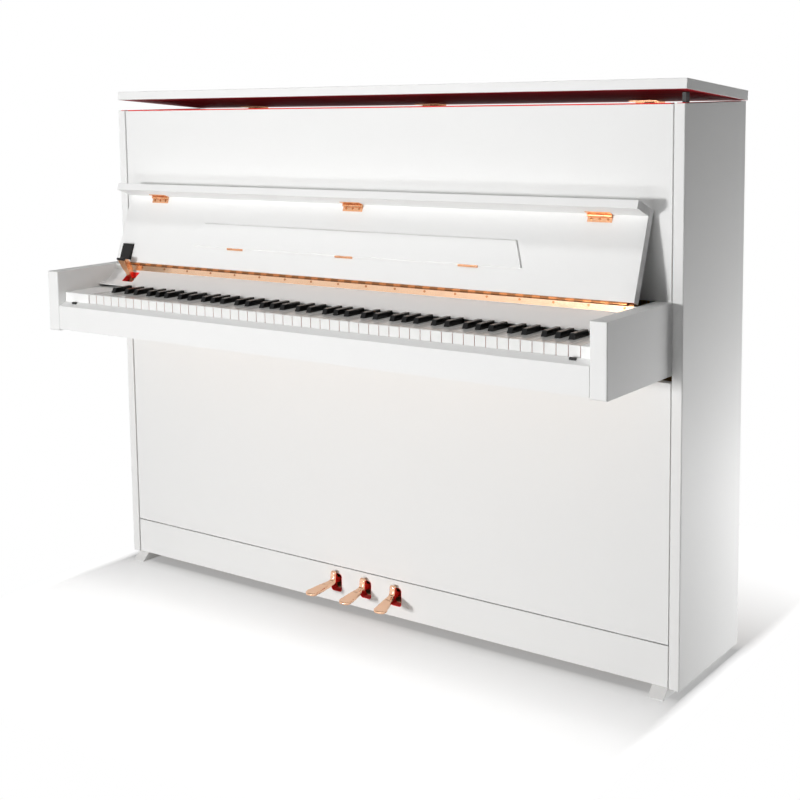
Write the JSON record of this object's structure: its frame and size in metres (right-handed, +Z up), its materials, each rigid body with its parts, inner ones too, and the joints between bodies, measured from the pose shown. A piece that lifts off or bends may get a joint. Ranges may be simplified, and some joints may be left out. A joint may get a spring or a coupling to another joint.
{
  "type": "upright piano",
  "caption": "Upright piano in white lacquer: fallboard open with its music desk, top lid propped, keyboard between two arms, copper-coloured hinges and pedals.",
  "frame": {"origin": "centre of the footprint's bounding box on the floor, with the lid propped and the fallboard open", "axes": "+X towards the treble end (the player's right), +Y towards the back, +Z up"},
  "size_m": [1.44, 0.5472, 1.1466],
  "materials": {
    "white_lacquer": "polished white polyester lacquer on wood",
    "key_white": "gloss white key covering on spruce",
    "key_black": "gloss black",
    "bare_wood": "planed",
    "spruce": "satin varnish",
    "hammer_wood": "felt and bare wood",
    "copper_metal": "polished, copper coloured plating",
    "plate_iron": "bronze paint",
    "pin_steel": "bright",
    "action_metal": "satin",
    "red_felt": "felt",
    "black_rubber": "matt",
    "black_part": "satin"
  },
  "bodies": {
    "case": {"side_left": "white_lacquer", "side_right": "white_lacquer", "arm_left": "white_lacquer", "arm_right": "white_lacquer", "key_blocks": "white_lacquer", "keybed": "bare_wood", "keyslip": "white_lacquer", "keyslip_bumpers": "black_rubber", "bottom_rail": "white_lacquer", "lower_panel": "white_lacquer", "upper_panel": "white_lacquer", "nameboard": "white_lacquer", "bottom_board": "bare_wood", "feet": "white_lacquer", "back_frame": "bare_wood", "soundboard": "spruce", "bridges_and_ribs": "bare_wood", "iron_plate": "plate_iron", "pin_block": "bare_wood", "tuning_pins": "pin_steel", "strings": "pin_steel", "action_frame": "action_metal", "key_frame": "bare_wood", "red_felts": "red_felt", "case_hinge_leaves": "copper_metal", "case_screws": "copper_metal", "pedal_brackets": "action_metal", "soft_close_damper": "black_part"},
    "lid": {"top_lid": "white_lacquer", "lid_hinge_leaves": "copper_metal"},
    "prop": {"lid_prop": "black_part"},
    "fallboard": {"fallboard": "white_lacquer", "fallboard_hinge_leaves": "copper_metal", "soft_close_pad": "black_part"},
    "lip": {"fallboard_lip": "white_lacquer", "lip_hinge_leaves": "copper_metal"},
    "desk": {"music_desk": "white_lacquer", "desk_hinge_leaves": "copper_metal"},
    "soft_close": {"soft_close_arm": "copper_metal"},
    "pedal_left": {"pedal_left": "copper_metal"},
    "pedal_middle": {"pedal_middle": "copper_metal"},
    "pedal_right": {"pedal_right": "copper_metal"},
    "rod_left": {"rod_left": "bare_wood"},
    "rod_middle": {"rod_middle": "bare_wood"},
    "rod_right": {"rod_right": "bare_wood"},
    "hammers": {"hammer_row": "hammer_wood"},
    "muffler": {"muffler_rail": "action_metal"},
    "dampers": {"damper_row": "hammer_wood"},
    "white_keys": {"white_keys": "key_white"},
    "black_keys": {"black_keys": "key_black"},
    "key_c4": {"key_c4": "key_white"},
    "key_c_sharp4": {"key_c_sharp4": "key_black"},
    "key_d4": {"key_d4": "key_white"},
    "key_d_sharp4": {"key_d_sharp4": "key_black"},
    "key_e4": {"key_e4": "key_white"},
    "key_f4": {"key_f4": "key_white"},
    "key_f_sharp4": {"key_f_sharp4": "key_black"},
    "key_g4": {"key_g4": "key_white"}
  },
  "joints": [
    {"name": "lid_turn", "type": "hinge", "parent": "case", "child": "lid", "pos_m": [0, 0.26944, 1.0975], "axis": [-1, 0, 0], "range_deg": [0, 88]},
    {"name": "prop_turn", "type": "hinge", "parent": "case", "child": "prop", "pos_m": [0.6905, 0.04944, 1.047], "axis": [-1, 0, 0], "range_deg": [0, 90]},
    {"name": "fallboard_turn", "type": "hinge", "parent": "case", "child": "fallboard", "pos_m": [0, -0.09596, 0.7479], "axis": [1, 0, 0], "range_deg": [0, 117.6]},
    {"name": "lip_turn", "type": "hinge", "parent": "fallboard", "child": "lip", "pos_m": [0, -0.04238, 0.89954], "axis": [1, 0, 0], "range_deg": [0, 88]},
    {"name": "desk_turn", "type": "hinge", "parent": "fallboard", "child": "desk", "pos_m": [0, -0.08007, 0.79556], "axis": [-1, 0, 0], "range_deg": [-90, 0]},
    {"name": "soft_close_turn", "type": "hinge", "parent": "case", "child": "soft_close", "pos_m": [-0.605, -0.09856, 0.704], "axis": [1, 0, 0], "range_deg": [0, 39]},
    {"name": "pedal_left_turn", "type": "hinge", "parent": "case", "child": "pedal_left", "pos_m": [-0.083, 0.03344, 0.066], "axis": [1, 0, 0], "range_deg": [0, 6.2], "stiffness_Nm_per_rad": 20, "springref_deg": -6.88},
    {"name": "rod_left_slide", "type": "slide", "parent": "case", "child": "rod_left", "axis": [0, 0, 1], "range_m": [0, 0.0076]},
    {"name": "pedal_middle_turn", "type": "hinge", "parent": "case", "child": "pedal_middle", "pos_m": [-0.0034, 0.03344, 0.066], "axis": [1, 0, 0], "range_deg": [0, 6.2], "stiffness_Nm_per_rad": 20, "springref_deg": -6.88},
    {"name": "rod_middle_slide", "type": "slide", "parent": "case", "child": "rod_middle", "axis": [0, 0, 1], "range_m": [0, 0.0076]},
    {"name": "pedal_right_turn", "type": "hinge", "parent": "case", "child": "pedal_right", "pos_m": [0.0762, 0.03344, 0.066], "axis": [1, 0, 0], "range_deg": [0, 6.2], "stiffness_Nm_per_rad": 20, "springref_deg": -6.88},
    {"name": "rod_right_slide", "type": "slide", "parent": "case", "child": "rod_right", "axis": [0, 0, 1], "range_m": [0, 0.0076]},
    {"name": "hammer_rail_turn", "type": "hinge", "parent": "case", "child": "hammers", "pos_m": [0, 0.06744, 0.8], "axis": [-1, 0, 0], "range_deg": [0, 9.2]},
    {"name": "muffler_slide", "type": "slide", "parent": "case", "child": "muffler", "axis": [0, 0, -1], "range_m": [0, 0.036]},
    {"name": "damper_turn", "type": "hinge", "parent": "case", "child": "dampers", "pos_m": [0, 0.11544, 0.771], "axis": [1, 0, 0], "range_deg": [0, 2.6]},
    {"name": "white_keys_turn", "type": "hinge", "parent": "case", "child": "white_keys", "pos_m": [0.0256, -0.03156, 0.6667], "axis": [1, 0, 0], "range_deg": [0, 2.6], "stiffness_Nm_per_rad": 12, "springref_deg": -22.92},
    {"name": "black_keys_turn", "type": "hinge", "parent": "case", "child": "black_keys", "pos_m": [0.0256, -0.03156, 0.6667], "axis": [1, 0, 0], "range_deg": [0, 2.6], "stiffness_Nm_per_rad": 8, "springref_deg": -22.92},
    {"name": "key_c4_turn", "type": "hinge", "parent": "case", "child": "key_c4", "pos_m": [-0.03315, -0.03156, 0.6667], "axis": [1, 0, 0], "range_deg": [0, 2.6], "stiffness_Nm_per_rad": 0.26, "springref_deg": -22.92},
    {"name": "key_c_sharp4_turn", "type": "hinge", "parent": "case", "child": "key_c_sharp4", "pos_m": [-0.0243, -0.03156, 0.6667], "axis": [1, 0, 0], "range_deg": [0, 2.6], "stiffness_Nm_per_rad": 0.26, "springref_deg": -22.92},
    {"name": "key_d4_turn", "type": "hinge", "parent": "case", "child": "key_d4", "pos_m": [-0.00965, -0.03156, 0.6667], "axis": [1, 0, 0], "range_deg": [0, 2.6], "stiffness_Nm_per_rad": 0.26, "springref_deg": -22.92},
    {"name": "key_d_sharp4_turn", "type": "hinge", "parent": "case", "child": "key_d_sharp4", "pos_m": [0.005, -0.03156, 0.6667], "axis": [1, 0, 0], "range_deg": [0, 2.6], "stiffness_Nm_per_rad": 0.26, "springref_deg": -22.92},
    {"name": "key_e4_turn", "type": "hinge", "parent": "case", "child": "key_e4", "pos_m": [0.01385, -0.03156, 0.6667], "axis": [1, 0, 0], "range_deg": [0, 2.6], "stiffness_Nm_per_rad": 0.26, "springref_deg": -22.92},
    {"name": "key_f4_turn", "type": "hinge", "parent": "case", "child": "key_f4", "pos_m": [0.03735, -0.03156, 0.6667], "axis": [1, 0, 0], "range_deg": [0, 2.6], "stiffness_Nm_per_rad": 0.26, "springref_deg": -22.92},
    {"name": "key_f_sharp4_turn", "type": "hinge", "parent": "case", "child": "key_f_sharp4", "pos_m": [0.0452, -0.03156, 0.6667], "axis": [1, 0, 0], "range_deg": [0, 2.6], "stiffness_Nm_per_rad": 0.26, "springref_deg": -22.92},
    {"name": "key_g4_turn", "type": "hinge", "parent": "case", "child": "key_g4", "pos_m": [0.06085, -0.03156, 0.6667], "axis": [1, 0, 0], "range_deg": [0, 2.6], "stiffness_Nm_per_rad": 0.26, "springref_deg": -22.92}
  ],
  "couplings": [
    {"joint": "soft_close_turn", "follows": "fallboard_turn", "ratio": 0.3274},
    {"joint": "rod_left_slide", "follows": "pedal_left_turn", "m_per_rad": 0.068},
    {"joint": "rod_middle_slide", "follows": "pedal_middle_turn", "m_per_rad": 0.068},
    {"joint": "rod_right_slide", "follows": "pedal_right_turn", "m_per_rad": 0.068},
    {"joint": "hammer_rail_turn", "follows": "pedal_left_turn", "ratio": 1.45},
    {"joint": "muffler_slide", "follows": "pedal_middle_turn", "m_per_rad": 0.32},
    {"joint": "damper_turn", "follows": "pedal_right_turn", "ratio": 0.4}
  ]
}
